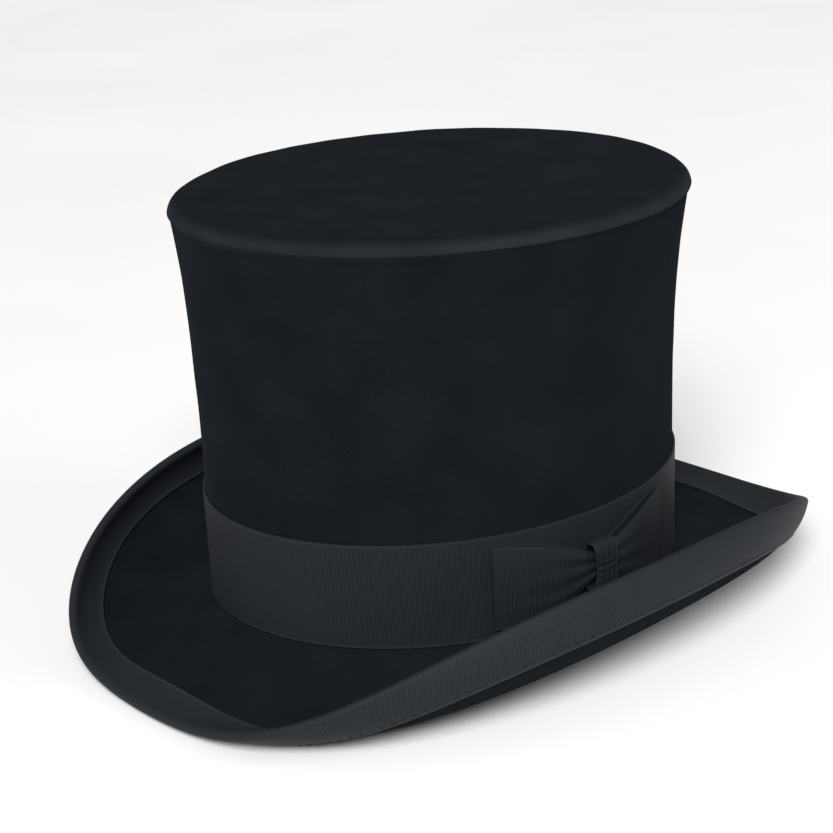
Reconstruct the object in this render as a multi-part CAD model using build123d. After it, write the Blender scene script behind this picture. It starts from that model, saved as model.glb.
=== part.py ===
from build123d import *
import os
from math import acos, ceil, copysign, cos, hypot, pi, radians, sin

# Top hat in wool felt: a bell crown on an oval, a brim curled up at the sides and dipped at the
# front and back, a ribbon band with a flat bow on the wearer's left, a bound brim edge, and a
# leather sweatband with a satin lining inside.
# Millimetres. +Z is up, the front of the hat is -Y and the wearer's left is +X. The origin is
# under the middle of the hat, on the surface that the brim stands on.

# ---- Driving dimensions -------------------------------------------------------------------

# Head opening, measured inside the sweatband
HEAD_LENGTH = 200.0
HEAD_WIDTH = 168.0

# Thickness of each material
SWEATBAND_LEATHER = 1.0
CROWN_FELT = 2.0
BRIM_FELT = 2.2
BAND_RIBBON = 0.9
BINDING_RIBBON = 0.7
LINING_SATIN = 0.5
TAG_TAPE = 0.4
THREAD = 0.5

# Gap left between two layers that are sewn or pressed together
LAYER_GAP = 0.15

# Crown
CROWN_HEIGHT = 164.0
FLARE_WIDTH = 11.8
FLARE_LENGTH = 4.5
FLARE_POWER = 3.6
TIP_EDGE_RADIUS = 7.0
COLLAR_HEIGHT = 11.0

# Brim, at five places round the hat: front, front quarter, side, back quarter, back
BRIM_WIDTH = (56.4, 71.0, 62.6, 68.6, 62.4)
BRIM_START_SLOPE = (-24.0, -35.4, -6.6, -24.5, -21.5)
BRIM_EDGE_SLOPE = (5.9, 93.9, 122.5, 84.5, 23.6)
BRIM_CURL_POWER = (2.7, 1.8, 1.65, 1.8, 2.7)
COLLAR_BEND = 2.2

# Ribbon folded over the brim edge
BINDING_DEPTH = 16.0

# Band and bow
BAND_HEIGHT = 43.0
BAND_LIFT = 0.4
BOW_ANGLE = -1.0
BOW_LIFT = 21.5
LOOP_SQUARENESS = 0.6
KNOT_WIDTH = 12.0
KNOT_HEIGHT = 21.0
KNOT_THICKNESS = 8.0
KNOT_BULGE = 0.2
WING_PINCH_HEIGHT = 11.0
WING_END_HEIGHT = 34.0
WING_PINCH_THICKNESS = 5.0
WING_PUFF = 6.5
WING_END_THICKNESS = 3.0
FRONT_WING_LENGTH = 40.0
BACK_WING_LENGTH = 36.0

# Inside
SWEATBAND_START = 0.2
SWEATBAND_HEIGHT = 38.0
REED_RADIUS = 0.9
LINING_START = 14.0
LINING_DROP = 0.5
INNER_BOW_WING = 11.0
INNER_BOW_HEIGHT = 9.0
INNER_BOW_THICKNESS = 2.4
INNER_BOW_KNOT = 4.0
TAG_LENGTH = 22.0
TAG_HEIGHT = 14.0
TAG_ANGLE = 68.0

# Stitches: length along the seam, pitch on the head oval, and distance from the sewn edge
STITCH_LENGTH = 3.0
SWEATBAND_STITCH_PITCH = 6.0
BINDING_STITCH_PITCH = 4.5
STITCH_INSET = 2.0
STITCH_GAP = 0.1

# Modelling steps: points along each curve, sections along each loft, and sizes of cutting solids
RING_POINTS = 36
STATIONS = 24
LINE_STEPS = 240
BRIM_POINTS = 21
BEND_POINTS = 5
BINDING_POINTS = 9
FOLD_POINTS = 9
REED_POINTS = 5
LOOP_POINTS = 24
CROWN_RINGS = 12
WING_SECTIONS = 9
KNOT_SECTIONS = 5
INNER_BOW_SECTIONS = 7
TANGENT_STEP = 0.004
CUT_MARGIN = 1.0
FAR = 400.0

# ---- Sizes that follow ---------------------------------------------------------------------

STACK = SWEATBAND_LEATHER + LAYER_GAP + BRIM_FELT + LAYER_GAP + CROWN_FELT
BASE_X = HEAD_WIDTH / 2 + STACK
BASE_Y = HEAD_LENGTH / 2 + STACK

CROWN_INSIDE = -CROWN_FELT
COLLAR_OUTSIDE = CROWN_INSIDE - LAYER_GAP
COLLAR_INSIDE = COLLAR_OUTSIDE - BRIM_FELT
SWEATBAND_OUTSIDE = COLLAR_INSIDE - LAYER_GAP
SWEATBAND_INSIDE = SWEATBAND_OUTSIDE - SWEATBAND_LEATHER
LINING_OUTSIDE = CROWN_INSIDE - LAYER_GAP
LINING_INSIDE = LINING_OUTSIDE - LINING_SATIN
BAND_INSIDE = LAYER_GAP
BAND_OUTSIDE = BAND_INSIDE + BAND_RIBBON
BOW_INSIDE = BAND_OUTSIDE + LAYER_GAP
LINING_TOP = CROWN_HEIGHT - TIP_EDGE_RADIUS - LINING_DROP


# ---- The oval and the lines round it ----------------------------------------------------------

def outward(angle):
    """Unit outward normal of the head oval at an angle measured from the wearer's left."""
    x = cos(angle) / BASE_X
    y = sin(angle) / BASE_Y
    size = hypot(x, y)
    return x / size, y / size


def spot(angle, out, up):
    """Point a distance out from the crown's base oval, at a height above the brim's root."""
    x, y = outward(angle)
    return Vector(BASE_X * cos(angle) + x * out, BASE_Y * sin(angle) + y * out, up)


def heading(angle):
    """Direction that the oval faces: 0 at the front, a half turn at the back."""
    return acos(max(-1.0, min(1.0, -outward(angle)[1])))


def around(values, turn):
    """Smooth value at a heading, through values spaced evenly from the front to the back."""
    last = len(values) - 1
    share = [0.5 if i in (0, last) else 1.0 for i in range(last + 1)]
    total = 0.0
    for wave in range(last + 1):
        terms = [share[i] * values[i] * cos(pi * wave * i / last) for i in range(last + 1)]
        total += share[wave] * 2 / last * sum(terms) * cos(wave * turn)
    return total


def shares(count):
    """Evenly spaced numbers from 0 to 1."""
    return [i / (count - 1) for i in range(count)]


def blend(start, end, share):
    """Value that eases from one number to another."""
    ease = share * share * (3 - 2 * share)
    return start + (end - start) * ease


def walk(angle, distance):
    """Angle reached by going a distance round the base oval; a plus distance goes to the back."""
    steps = max(1, ceil(abs(distance)))
    for _ in range(steps):
        speed = hypot(BASE_X * sin(angle), BASE_Y * cos(angle))
        angle += distance / steps / speed
    return angle


# ---- Crown rings ----------------------------------------------------------------------------

def ring(out, up):
    """Closed oval wire at a height, a distance outside the crown's outer face."""
    rise = (max(up, 0.0) / CROWN_HEIGHT) ** FLARE_POWER
    half_x = BASE_X + out + FLARE_WIDTH * rise
    half_y = BASE_Y + out + FLARE_LENGTH * rise
    turns = [2 * pi * i / RING_POINTS for i in range(RING_POINTS)]
    points = [Vector(half_x * cos(turn), half_y * sin(turn), up) for turn in turns]
    return Wire([Edge.make_spline(points, periodic=True)])


def oval_solid(out, bottom, top):
    """Solid that follows the crown's flare from one height to another."""
    count = max(2, ceil(CROWN_RINGS * (top - bottom) / CROWN_HEIGHT))
    heights = [bottom + (top - bottom) * i / count for i in range(count + 1)]
    return Solid.make_loft([ring(out, height) for height in heights])


def oval_tube(outside, inside, bottom, top):
    """Wall between two offsets from the crown's outer face."""
    cut = oval_solid(inside, bottom - CUT_MARGIN, top + CUT_MARGIN)
    return oval_solid(outside, bottom, top) - cut


# ---- Sections carried round the hat ----------------------------------------------------------

def run_edge(angle, points):
    """One edge of a section: straight for two points, smooth for more."""
    places = [spot(angle, out, up) for out, up in points]
    if len(places) == 2:
        return Edge.make_line(*places)
    return Edge.make_spline(places)


def round_the_hat(section):
    """Loft a section, given as runs of (out, up) points, round one half and mirror it."""
    step = pi / STATIONS
    wires = []
    for i in range(-1, STATIONS + 2):
        angle = -pi / 2 + step * i
        wires.append(Wire([run_edge(angle, run) for run in section(angle)]))
    half_space = Pos(FAR / 2, 0, 0) * Box(FAR, 2 * FAR, 2 * FAR)
    half = Solid.make_loft(wires) & half_space
    return half + mirror(half, Plane.YZ)


def brim_line(angle):
    """Middle line of the brim felt at an angle, as (out, up, slope) at fine steps of its width."""
    turn = heading(angle)
    width = around(BRIM_WIDTH, turn)
    start = radians(around(BRIM_START_SLOPE, turn))
    change = radians(around(BRIM_EDGE_SLOPE, turn)) - start
    power = around(BRIM_CURL_POWER, turn)
    out, up = 0.0, -BRIM_FELT / 2
    line = [(out, up, start)]
    for i in range(LINE_STEPS):
        slope = start + change * ((i + 0.5) / LINE_STEPS) ** power
        out += width / LINE_STEPS * cos(slope)
        up += width / LINE_STEPS * sin(slope)
        line.append((out, up, start + change * ((i + 1) / LINE_STEPS) ** power))
    return line


def places_along(line, first, count):
    """Places spaced evenly from a share of a line to its end, as (out, up, slope)."""
    last = len(line) - 1
    places = []
    for share in shares(count):
        position = last * (first + (1 - first) * share)
        low = min(int(position), last - 1)
        part = position - low
        places.append(tuple(a + (b - a) * part for a, b in zip(line[low], line[low + 1])))
    return places


def beside(place, distance):
    """Point at a distance from a path place, square to the path; plus is the upper side."""
    out, up, slope = place
    return out - distance * sin(slope), up + distance * cos(slope)


def brim_section(angle):
    """Collar inside the crown, the seat under the crown wall, and the brim out to its edge."""
    path = places_along(brim_line(angle), 0.0, BRIM_POINTS)
    top = [beside(place, BRIM_FELT / 2) for place in path]
    underside = [beside(place, -BRIM_FELT / 2) for place in reversed(path)]
    end_out, end_up = underside[-1]
    bend = []
    for share in shares(BEND_POINTS):
        turn = pi / 2 * share
        out = end_out - (end_out - COLLAR_INSIDE) * sin(turn)
        up = COLLAR_BEND - (COLLAR_BEND - end_up) * cos(turn)
        bend.append((out, up))
    seat = (COLLAR_OUTSIDE, 0.0)
    collar_top_out = (COLLAR_OUTSIDE, COLLAR_HEIGHT)
    collar_top_in = (COLLAR_INSIDE, COLLAR_HEIGHT)
    return [
        [collar_top_out, seat],
        [seat, top[0]],
        top,
        [top[-1], underside[0]],
        underside,
        bend,
        [bend[-1], collar_top_in],
        [collar_top_in, collar_top_out],
    ]


# ---- Ribbons and thread -----------------------------------------------------------------------

def edge_places(angle, depth, count):
    """Places along the last stretch of the brim's middle line, a depth in from the edge."""
    width = around(BRIM_WIDTH, heading(angle))
    return places_along(brim_line(angle), 1 - depth / width, count)


def binding_section(angle):
    """Ribbon folded round the brim edge: over the top, round the edge and back underneath."""
    places = edge_places(angle, BINDING_DEPTH, BINDING_POINTS)
    near = BRIM_FELT / 2 + LAYER_GAP
    far = near + BINDING_RIBBON
    out, up, slope = places[-1]
    arcs = []
    for size in (near, far):
        arc = []
        for share in shares(FOLD_POINTS):
            turn = pi / 2 - pi * share
            ahead = LAYER_GAP + size * cos(turn)
            edge = (out + ahead * cos(slope), up + ahead * sin(slope), slope)
            arc.append(beside(edge, size * sin(turn)))
        arcs.append(arc)
    inner, outer = arcs
    top_outer = [beside(place, far) for place in places[:-1]] + [outer[0]]
    low_outer = [outer[-1]] + [beside(place, -far) for place in reversed(places[:-1])]
    low_inner = [beside(place, -near) for place in places[:-1]] + [inner[-1]]
    top_inner = [inner[0]] + [beside(place, near) for place in reversed(places[:-1])]
    return [
        top_outer,
        outer,
        low_outer,
        [low_outer[-1], low_inner[0]],
        low_inner,
        inner[::-1],
        top_inner,
        [top_inner[-1], top_outer[0]],
    ]


def reed_section(angle):
    """Round cord under the sweatband's lower edge, in four quarter arcs."""
    middle_out = (SWEATBAND_OUTSIDE + SWEATBAND_INSIDE) / 2
    middle_up = SWEATBAND_START - LAYER_GAP - REED_RADIUS
    quarters = []
    for quarter in range(4):
        turns = [pi / 2 * (quarter + share) for share in shares(REED_POINTS)]
        arc = [(REED_RADIUS * cos(turn), REED_RADIUS * sin(turn)) for turn in turns]
        quarters.append([(middle_out + out, middle_up + up) for out, up in arc])
    return quarters


def rounded_section(angle, inside, middle, height, thickness, side=1):
    """Flat rounded loop of ribbon that lies against an offset from the oval."""
    points = []
    for i in range(LOOP_POINTS):
        turn = 2 * pi * i / LOOP_POINTS
        across = copysign(abs(cos(turn)) ** LOOP_SQUARENESS, cos(turn))
        along = copysign(abs(sin(turn)) ** LOOP_SQUARENESS, sin(turn))
        out = inside + side * thickness / 2 * (1 + across)
        points.append(spot(angle, out, middle + height / 2 * along))
    return Wire([Edge.make_spline(points, periodic=True)])


def fan_out(start, end, share):
    """Value that grows quickly from one number, then levels off at another."""
    return start + (end - start) * sin(pi / 2 * share)


def bow_wing(length, direction):
    """Pinched loop of ribbon from the knot out to its end, wrapped round the band."""
    wires = []
    for share in shares(WING_SECTIONS):
        distance = direction * (KNOT_WIDTH / 2 + LAYER_GAP + share * length)
        angle = walk(radians(BOW_ANGLE), distance)
        height = fan_out(WING_PINCH_HEIGHT, WING_END_HEIGHT, share)
        flat = blend(WING_PINCH_THICKNESS, WING_END_THICKNESS, share)
        thickness = flat + (WING_PUFF - WING_PINCH_THICKNESS) * sin(pi * share)
        wires.append(rounded_section(angle, BOW_INSIDE, BAND_LIFT + BOW_LIFT, height, thickness))
    return Solid.make_loft(wires)


def bow_knot():
    """Turn of ribbon round the middle of the bow."""
    wires = []
    for share in shares(KNOT_SECTIONS):
        angle = walk(radians(BOW_ANGLE), KNOT_WIDTH * (share - 0.5))
        thickness = KNOT_THICKNESS * (1 - KNOT_BULGE * (1 - sin(pi * share)))
        section = (BOW_INSIDE, BAND_LIFT + BOW_LIFT, KNOT_HEIGHT, thickness)
        wires.append(rounded_section(angle, *section))
    return Solid.make_loft(wires)


def sweatband_back_bow():
    """Small flat bow that covers the sweatband's seam at the back, inside the hat."""
    middle = SWEATBAND_HEIGHT - INNER_BOW_HEIGHT
    inside = SWEATBAND_INSIDE - LAYER_GAP
    solids = []
    for first, last in ((-1, 0), (0, 1)):
        wires = []
        for part in shares(INNER_BOW_SECTIONS):
            share = first + (last - first) * part
            angle = walk(pi / 2, share * (INNER_BOW_KNOT / 2 + INNER_BOW_WING))
            height = blend(INNER_BOW_KNOT, INNER_BOW_HEIGHT, abs(share))
            wires.append(rounded_section(angle, inside, middle, height, INNER_BOW_THICKNESS, -1))
        solids.append(Solid.make_loft(wires))
    return solids[0] + solids[1]


def spaced_angles(pitch):
    """Angles at an even pitch, as near as a whole number allows, round the base oval."""
    root = ((3 * BASE_X + BASE_Y) * (BASE_X + 3 * BASE_Y)) ** 0.5
    girth = pi * (3 * (BASE_X + BASE_Y) - root)
    count = round(girth / pitch)
    angles = [0.0]
    while len(angles) < count:
        angles.append(walk(angles[-1], girth / count))
    return angles


def stitch(place, ahead, upward):
    """Short straight stitch lying on a surface, from its middle, direction and surface normal."""
    return Plane(origin=place, x_dir=ahead, z_dir=upward) * Box(STITCH_LENGTH, THREAD, THREAD)


def sweatband_stitch(angle):
    """Stitch on the inner face of the sweatband, above the reed."""
    x, y = outward(angle)
    out = SWEATBAND_INSIDE - STITCH_GAP - THREAD / 2
    place = spot(angle, out, SWEATBAND_START + STITCH_INSET)
    return stitch(place, Vector(-y, x, 0), Vector(x, y, 0))


def binding_stitch(angle):
    """Stitch on the upper face of the edge ribbon, near the ribbon's inner edge."""
    reach = BRIM_FELT / 2 + LAYER_GAP + BINDING_RIBBON + STITCH_GAP + THREAD / 2
    points = []
    for near in (angle - TANGENT_STEP, angle, angle + TANGENT_STEP):
        place = edge_places(near, BINDING_DEPTH - STITCH_INSET, 2)[0]
        points.append(spot(near, *beside(place, reach)))
    x, y = outward(angle)
    slope = place[2]
    across = Vector(x * cos(slope), y * cos(slope), sin(slope))
    ahead = (points[2] - points[0]).normalized()
    return stitch(points[1], ahead, across.cross(ahead))


# ---- Pieces -----------------------------------------------------------------------------------

def crown_felt():
    """Bell-shaped crown: side wall and flat tip blocked in one shell with a soft tip edge."""
    outer = oval_solid(0, LAYER_GAP, CROWN_HEIGHT)
    outer = fillet(outer.edges().group_by(Axis.Z)[-1], TIP_EDGE_RADIUS)
    inner = oval_solid(CROWN_INSIDE, LAYER_GAP, CROWN_HEIGHT - CROWN_FELT)
    inner = fillet(inner.edges().group_by(Axis.Z)[-1], TIP_EDGE_RADIUS - CROWN_FELT)
    return outer - inner


def brim_felt():
    """Curled brim with its collar, in one piece of felt."""
    return round_the_hat(brim_section)


def brim_binding():
    """Ribbon folded over the whole edge of the brim."""
    return round_the_hat(binding_section)


def binding_stitches():
    """Machine stitches that hold the edge ribbon."""
    return Compound([binding_stitch(angle) for angle in spaced_angles(BINDING_STITCH_PITCH)])


def hat_band():
    """Flat ribbon round the foot of the crown, over the joint between crown and brim."""
    return oval_tube(BAND_OUTSIDE, BAND_INSIDE, BAND_LIFT, BAND_LIFT + BAND_HEIGHT)


def bow_front_wing():
    """Wing of the bow that points to the front of the hat."""
    return bow_wing(FRONT_WING_LENGTH, -1)


def bow_back_wing():
    """Wing of the bow that points to the back of the hat."""
    return bow_wing(BACK_WING_LENGTH, 1)


def sweatband():
    """Leather strip that stands up inside the collar and sits on the head."""
    return oval_tube(SWEATBAND_OUTSIDE, SWEATBAND_INSIDE, SWEATBAND_START, SWEATBAND_HEIGHT)


def sweatband_reed():
    """Thin cord that stiffens the sweatband's lower edge."""
    return round_the_hat(reed_section)


def sweatband_stitches():
    """Stitches that hold the sweatband to the hat."""
    return Compound([sweatband_stitch(angle) for angle in spaced_angles(SWEATBAND_STITCH_PITCH)])


def size_tag():
    """Small blank woven label standing on the sweatband's inner face, beside the back bow."""
    outside = SWEATBAND_INSIDE - LAYER_GAP
    middle = SWEATBAND_HEIGHT / 2
    low = middle - TAG_HEIGHT / 2
    tube = oval_tube(outside, outside - TAG_TAPE, low, low + TAG_HEIGHT)
    angle = radians(TAG_ANGLE)
    x, y = outward(angle)
    place = Plane(origin=spot(angle, outside, middle), x_dir=(-y, x, 0), z_dir=(x, y, 0))
    return tube & (place * Box(TAG_LENGTH, 2 * TAG_HEIGHT, TAG_LENGTH))


def lining_side():
    """Satin wall of the lining, from behind the sweatband up to the tip."""
    return oval_tube(LINING_OUTSIDE, LINING_INSIDE, LINING_START, LINING_TOP)


def lining_tip():
    """Satin oval across the top of the lining."""
    bottom = LINING_TOP + LAYER_GAP
    return oval_solid(LINING_OUTSIDE, bottom, bottom + LINING_SATIN)


def standing_place(binding):
    """Move that puts the origin under the middle of the hat, where the brim's edge stands."""
    box = binding.bounding_box()
    return Pos(-box.center().X, -box.center().Y, -box.min.Z)


PIECES = [
    crown_felt,
    brim_felt,
    brim_binding,
    binding_stitches,
    hat_band,
    bow_front_wing,
    bow_back_wing,
    bow_knot,
    sweatband,
    sweatband_reed,
    sweatband_stitches,
    sweatband_back_bow,
    size_tag,
    lining_side,
    lining_tip,
]


if __name__ == "__main__":
    os.makedirs("parts", exist_ok=True)
    shapes = {piece.__name__: piece() for piece in PIECES}
    place = standing_place(shapes["brim_binding"])
    print("brim root above the ground", place.position)
    for name, shape in shapes.items():
        export_step(place * shape, f"parts/{name}.step")
        print(name, round(shape.volume, 1))
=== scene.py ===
import logging
from dataclasses import dataclass
from enum import Enum
from math import acos, ceil, copysign, cos, hypot, pi, radians, sin
from typing import Callable, Iterable, Sequence

import bpy
from mathutils import Matrix, Vector, noise


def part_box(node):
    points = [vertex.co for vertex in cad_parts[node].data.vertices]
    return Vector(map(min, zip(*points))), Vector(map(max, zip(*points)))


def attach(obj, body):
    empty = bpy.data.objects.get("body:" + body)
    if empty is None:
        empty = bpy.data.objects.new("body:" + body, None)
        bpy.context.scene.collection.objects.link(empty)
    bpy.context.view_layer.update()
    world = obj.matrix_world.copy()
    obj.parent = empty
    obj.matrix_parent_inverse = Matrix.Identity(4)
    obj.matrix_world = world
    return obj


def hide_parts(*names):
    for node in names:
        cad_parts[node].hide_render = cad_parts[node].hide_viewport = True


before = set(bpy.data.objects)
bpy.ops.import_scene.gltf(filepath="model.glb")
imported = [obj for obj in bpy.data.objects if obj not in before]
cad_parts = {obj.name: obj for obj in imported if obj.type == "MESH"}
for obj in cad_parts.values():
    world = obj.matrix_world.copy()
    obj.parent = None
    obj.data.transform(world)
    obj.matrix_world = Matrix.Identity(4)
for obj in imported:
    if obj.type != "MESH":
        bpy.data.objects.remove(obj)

log = logging.getLogger("top_hat")

MM = 0.001
WELD = 1e-6
BODY = "root"

# Degrees between two faces past which the edge between them is shaded sharp.
CLOTH_CREASE = 50.0
STITCH_CREASE = 80.0

Place = tuple[float, float, float]
Colour = tuple[float, float, float]
Span = tuple[float, float]
Relief = tuple[float, float]
Grain = tuple[float | Place, float]
Surface = Callable[[float, float], Vector]
Socket = bpy.types.NodeSocket


class Face(Enum):
    """The two faces of the brim."""

    UPPER = 1
    UNDER = -1


class Wing(Enum):
    """The two wings of a bow, by the way they run round the oval from the knot."""

    FRONT = -1
    BACK = 1


class Side(Enum):
    """The way that a bow faces: out from the hat or in towards the head."""

    OUT = 1
    IN = -1


class Hold(Enum):
    """How a cloth piece is held on the hat."""

    STRETCHED = "stretched"
    FOLDED = "folded"
    GATHERED = "gathered"
    LAID = "laid"


# ---- Shape of the hat -----------------------------------------------------------------------


def around(values: Sequence[float], turn: float) -> float:
    """Blend values spaced evenly from the front of the hat to its back.

    Args:
        values: The values at the front, the front quarter, the side, and so on to the back.
        turn: Heading, 0 at the front and half a turn at the back.

    Returns:
        The smooth value at that heading.
    """
    last = len(values) - 1
    share = [0.5 if i in (0, last) else 1.0 for i in range(last + 1)]
    total = 0.0
    for wave in range(last + 1):
        terms = (share[i] * values[i] * cos(pi * wave * i / last) for i in range(last + 1))
        total += share[wave] * 2 / last * sum(terms) * cos(wave * turn)
    return total


def ease(start: float, end: float, share: float) -> float:
    """Ease from one number to another as share goes from 0 to 1."""
    share = max(0.0, min(1.0, share))
    return start + (end - start) * share * share * (3 - 2 * share)


def fan_out(start: float, end: float, share: float) -> float:
    """Grow quickly from one number, then level off at another."""
    return start + (end - start) * sin(pi / 2 * max(0.0, min(1.0, share)))


def ripple(angle: float, pace: float, along: float) -> float:
    """Uneven height that meets itself after once round the hat.

    Args:
        angle: Angle round the hat.
        pace: How quickly it changes round the hat.
        along: Place in the other direction.

    Returns:
        A height from -1 to 1.
    """
    return noise.noise(Vector((cos(angle) * pace, sin(angle) * pace, along)))


@dataclass(frozen=True)
class HeadOval:
    """Foot of the crown's outer face. Sizes are in millimetres, places in metres.

    Distances out are square to the oval, and heights are above the root of the brim.
    """

    centre_y: float
    root_z: float
    half_x: float = 89.5
    half_y: float = 105.5

    def outward(self, angle: float) -> tuple[float, float]:
        """Unit outward normal at an angle measured from the wearer's left."""
        x, y = cos(angle) / self.half_x, sin(angle) / self.half_y
        size = hypot(x, y)
        return x / size, y / size

    def spot(self, angle: float, out: float, up: float) -> Vector:
        """Place in metres, a distance out from the oval and at a height."""
        x, y = self.outward(angle)
        flat_x = self.half_x * cos(angle) + x * out
        flat_y = self.half_y * sin(angle) + y * out
        return Vector((flat_x * MM, flat_y * MM + self.centre_y, up * MM + self.root_z))

    def heading(self, angle: float) -> float:
        """Way that the oval faces: 0 at the front, half a turn at the back."""
        return acos(max(-1.0, min(1.0, -self.outward(angle)[1])))

    def walk(self, angle: float, distance: float) -> float:
        """Angle reached by going a distance round the oval, towards the back for plus."""
        steps = max(1, ceil(abs(distance)))
        for _ in range(steps):
            angle += distance / steps / hypot(self.half_x * sin(angle), self.half_y * cos(angle))
        return angle

    def girth(self, out: float = 0.0) -> float:
        """Length round the oval, a distance out from it."""
        a, b = self.half_x + out, self.half_y + out
        return pi * (3 * (a + b) - ((3 * a + b) * (a + 3 * b)) ** 0.5)

    def even_angles(self, count: int) -> list[float]:
        """Angles evenly spaced round the oval."""
        angles = [0.0]
        while len(angles) < count:
            angles.append(self.walk(angles[-1], self.girth() / count))
        return angles


@dataclass(frozen=True)
class CrownShape:
    """Bell of the crown: how far each height stands outside the oval's foot."""

    height: float = 164.0
    flare_x: float = 11.8
    flare_y: float = 4.5
    power: float = 3.6
    felt: float = 2.0
    edge_radius: float = 7.0

    def half_axes(self, oval: HeadOval, out: float, up: float) -> tuple[float, float]:
        """Half width and half length of the ring at a height, a distance outside the felt."""
        rise = (max(up, 0.0) / self.height) ** self.power
        half_x = oval.half_x + out + self.flare_x * rise
        return half_x, oval.half_y + out + self.flare_y * rise

    def spot(self, oval: HeadOval, turn: float, out: float, up: float) -> Vector:
        """Place on the ring at a height, for a turn round the crown."""
        half_x, half_y = self.half_axes(oval, out, up)
        x, y = half_x * cos(turn) * MM, half_y * sin(turn) * MM
        return Vector((x, y + oval.centre_y, up * MM + oval.root_z))


@dataclass
class BrimShape:
    """Middle line of the brim felt, from the crown's foot out to the edge."""

    oval: HeadOval
    width: Sequence[float] = (56.4, 71.0, 62.6, 68.6, 62.4)
    start_slope: Sequence[float] = (-24.0, -35.4, -6.6, -24.5, -21.5)
    edge_slope: Sequence[float] = (5.9, 93.9, 122.5, 84.5, 23.6)
    curl_power: Sequence[float] = (2.7, 1.8, 1.65, 1.8, 2.7)
    felt: float = 2.2
    steps: int = 24
    fine: int = 6
    unevenness: float = 0.35
    swell_pace: float = 1.7
    swell_along: float = 1.2

    def line(self, angle: float) -> list[Place]:
        """Follow the felt outwards at one angle.

        Args:
            angle: Angle round the oval.

        Returns:
            Places as (out, up, slope), at even steps of the brim's width.
        """
        turn = self.oval.heading(angle)
        width = around(self.width, turn)
        start = radians(around(self.start_slope, turn))
        change = radians(around(self.edge_slope, turn)) - start
        power = around(self.curl_power, turn)
        count = self.steps * self.fine
        out, up = 0.0, -self.felt / 2
        places = [(out, up, start)]
        for i in range(count):
            slope = start + change * ((i + 0.5) / count) ** power
            out += width / count * cos(slope)
            up += width / count * sin(slope)
            if (i + 1) % self.fine == 0:
                share = (i + 1) / count
                rise = self.wander(angle, share)
                places.append((out, up + rise, start + change * share**power))
        return places

    def wander(self, angle: float, share: float) -> float:
        """Slight lift of real felt, nothing at the crown and most at the edge."""
        swell = ripple(angle, self.swell_pace, share * self.swell_along)
        return self.unevenness * share * (0.5 + 0.5 * swell)

    def stretch(self, angle: float, depth: float, count: int) -> list[Place]:
        """Even places along the outermost depth of the brim, ending at the edge."""
        places = self.line(angle)
        first = self.steps * (1 - depth / around(self.width, self.oval.heading(angle)))
        picked = []
        for i in range(count):
            position = first + (self.steps - first) * i / (count - 1)
            low = min(int(position), self.steps - 1)
            part = position - low
            picked.append(tuple(a + (b - a) * part for a, b in zip(places[low], places[low + 1])))
        return picked


def beside(place: Place, distance: float) -> tuple[float, float]:
    """Step off the brim's middle line, square to it; plus is the upper side."""
    out, up, slope = place
    return out - distance * sin(slope), up + distance * cos(slope)


# ---- Mesh tools -------------------------------------------------------------------------------


def clear_selection() -> None:
    """Deselect everything, and leave edit mode if it is on."""
    if bpy.context.object and bpy.context.object.mode != "OBJECT":
        bpy.ops.object.mode_set(mode="OBJECT")
    bpy.ops.object.select_all(action="DESELECT")


def pick(piece: bpy.types.Object) -> None:
    """Make one piece the only selected and active object."""
    clear_selection()
    piece.select_set(True)
    bpy.context.view_layer.objects.active = piece


def weld(piece: bpy.types.Object, outside: bool = False) -> None:
    """Close the seams of a mesh.

    Args:
        piece: Object whose doubled points are merged.
        outside: Turn the faces outwards afterwards.
    """
    pick(piece)
    bpy.ops.object.mode_set(mode="EDIT")
    bpy.ops.mesh.select_all(action="SELECT")
    bpy.ops.mesh.remove_doubles(threshold=WELD)
    if outside:
        bpy.ops.mesh.normals_make_consistent(inside=False)
    bpy.ops.object.mode_set(mode="OBJECT")


def grid(name: str, columns: int, rows: int, surface: Surface) -> bpy.types.Object:
    """Lay a grid primitive on a surface, keeping the grid's UV map.

    Args:
        name: Name of the new piece.
        columns: Faces along the surface.
        rows: Faces across it.
        surface: Gives a place for shares along and across, each from 0 to 1.

    Returns:
        The new piece, open at its edges.
    """
    clear_selection()
    bpy.ops.mesh.primitive_grid_add(x_subdivisions=columns, y_subdivisions=rows, size=2.0)
    piece = bpy.context.object
    piece.name = name
    for vertex in piece.data.vertices:
        vertex.co = surface((vertex.co.x + 1) / 2, (vertex.co.y + 1) / 2)
    return piece


def thicken(piece: bpy.types.Object, thickness: float, offset: float = 0.0) -> None:
    """Give a sheet its thickness in millimetres, with a Solidify modifier that is applied."""
    pick(piece)
    wall = piece.modifiers.new("wall", "SOLIDIFY")
    wall.thickness = thickness * MM
    wall.offset = offset
    wall.use_even_offset = True
    bpy.ops.object.modifier_apply(modifier=wall.name)


def soften(piece: bpy.types.Object, crease: float = CLOTH_CREASE) -> None:
    """Shade a piece smooth, with an edge wherever its faces turn by more than the crease's angle."""
    pick(piece)
    bpy.ops.object.shade_smooth_by_angle(angle=radians(crease))


def cloth(
    name: str, columns: int, rows: int, surface: Surface, thickness: float, closed: bool = True
) -> bpy.types.Object:
    """Lay a sheet on a surface and give it its thickness.

    Args:
        name: Name of the new piece.
        columns: Faces along the surface.
        rows: Faces across it.
        surface: Gives a place for shares along and across, each from 0 to 1.
        thickness: Thickness in millimetres, half on each side of the surface.
        closed: Weld the ends or edges that meet.

    Returns:
        The finished piece.
    """
    piece = grid(name, columns, rows, surface)
    if closed:
        weld(piece)
    thicken(piece, thickness)
    soften(piece)
    return piece


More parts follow.
